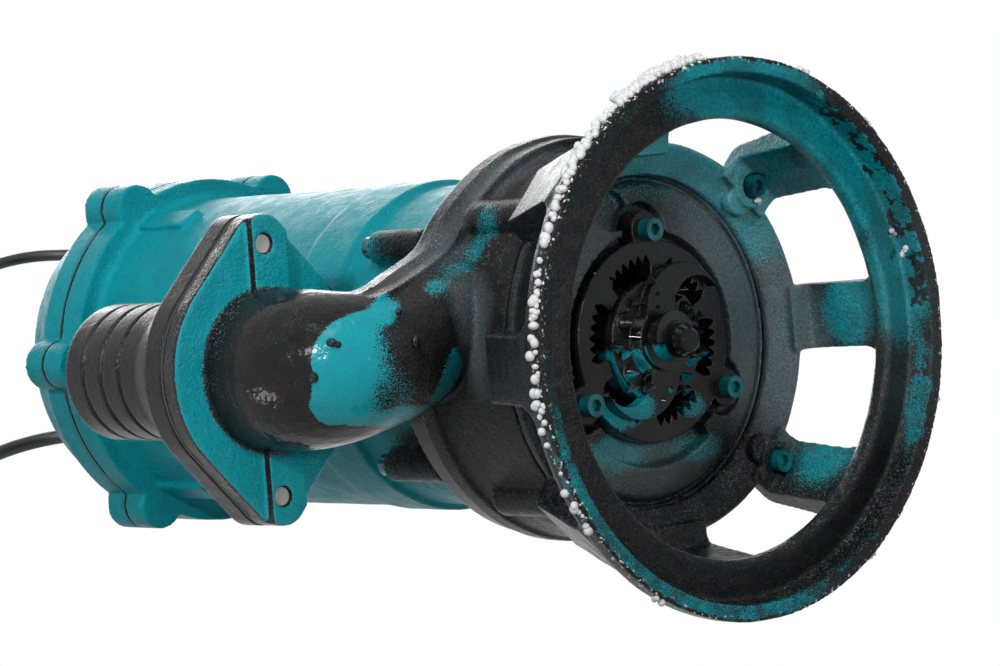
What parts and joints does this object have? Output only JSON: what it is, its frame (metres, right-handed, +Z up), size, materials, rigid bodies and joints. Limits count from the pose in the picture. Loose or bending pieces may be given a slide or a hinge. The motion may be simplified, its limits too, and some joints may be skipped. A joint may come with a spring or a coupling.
{
  "type": "grinder pump",
  "caption": "Submersible sewage grinder pump on a ring stand: toothed cutter, volute casing, side outlet with grooved hose connector, upright motor, handle, power cord and float switch.",
  "frame": {"origin": "on the shaft's axis, at the level that the base ring stands on", "axes": "+Z up along the shaft, +X from the shaft towards the outlet"},
  "size_m": [0.3566, 0.382, 0.5387],
  "materials": {
    "stand_paint": "rough cast, teal paint with black overspray",
    "casing_paint": "rough cast, black paint",
    "cover_paint": "rough cast, black paint",
    "connector_paint": "satin black paint",
    "motor_paint": "satin teal paint",
    "hard_iron": "dark, painted over",
    "screw_steel": "plain",
    "shaft_steel": "turned",
    "impeller_iron": "rough cast",
    "laminated_steel": "stacked sheets",
    "end_ring_metal": "cast",
    "copper_wire": "varnished windings",
    "gasket_rubber": "matt",
    "seal_ceramic": "smooth ceramic",
    "inner_plastic": "smooth",
    "gland_plastic": "satin",
    "cord_rubber": "matt",
    "plug_plastic": "satin"
  },
  "bodies": {
    "pump": {"base_stand": "stand_paint", "bearing_bracket": "motor_paint", "capacitor_clamp": "screw_steel", "carrying_handle": "motor_paint", "casing_gasket": "gasket_rubber", "coil_tie": "plug_plastic", "cover_gasket": "gasket_rubber", "cover_screws": "screw_steel", "cover_seal": "gasket_rubber", "cutter_plate": "hard_iron", "cutter_plate_screws": "screw_steel", "discharge_gasket": "gasket_rubber", "flange_bolts": "screw_steel", "float_cord": "cord_rubber", "float_gland": "gland_plastic", "float_gland_nut": "gland_plastic", "float_sleeve": "gasket_rubber", "float_switch": "plug_plastic", "handle_screws": "screw_steel", "hose_barb": "connector_paint", "housing_screws": "screw_steel", "lower_bearing_outer": "shaft_steel", "lower_seal_seat": "seal_ceramic", "mains_coil": "cord_rubber", "mains_cord": "cord_rubber", "mains_gland": "gland_plastic", "mains_gland_nut": "gland_plastic", "mains_plug": "plug_plastic", "mains_sleeve": "gasket_rubber", "mains_tail": "cord_rubber", "motor_housing": "motor_paint", "oil_chamber": "casing_paint", "oil_plug": "screw_steel", "pump_casing": "casing_paint", "run_capacitor": "inner_plastic", "stand_screws": "screw_steel", "stator_core": "laminated_steel", "stator_windings": "copper_wire", "suction_cover": "cover_paint", "terminal_block": "inner_plastic", "top_cover": "motor_paint", "upper_bearing_outer": "shaft_steel", "upper_seal_seat": "seal_ceramic"},
    "rotor": {"rotating_cutter": "hard_iron", "auger_tip": "hard_iron", "shaft_nut": "hard_iron", "impeller": "impeller_iron", "impeller_key": "shaft_steel", "pump_shaft": "shaft_steel", "lower_seal_head": "seal_ceramic", "upper_seal_head": "seal_ceramic", "seal_spring": "shaft_steel", "lower_bearing_inner": "shaft_steel", "lower_bearing_balls": "shaft_steel", "upper_bearing_inner": "shaft_steel", "upper_bearing_balls": "shaft_steel", "rotor_core": "laminated_steel", "rotor_end_rings": "end_ring_metal"}
  },
  "joints": [
    {"name": "rotor_spin", "type": "hinge", "parent": "pump", "child": "rotor", "pos_m": [0, 0, 0.2], "axis": [0, 0, 1], "continuous": true}
  ]
}
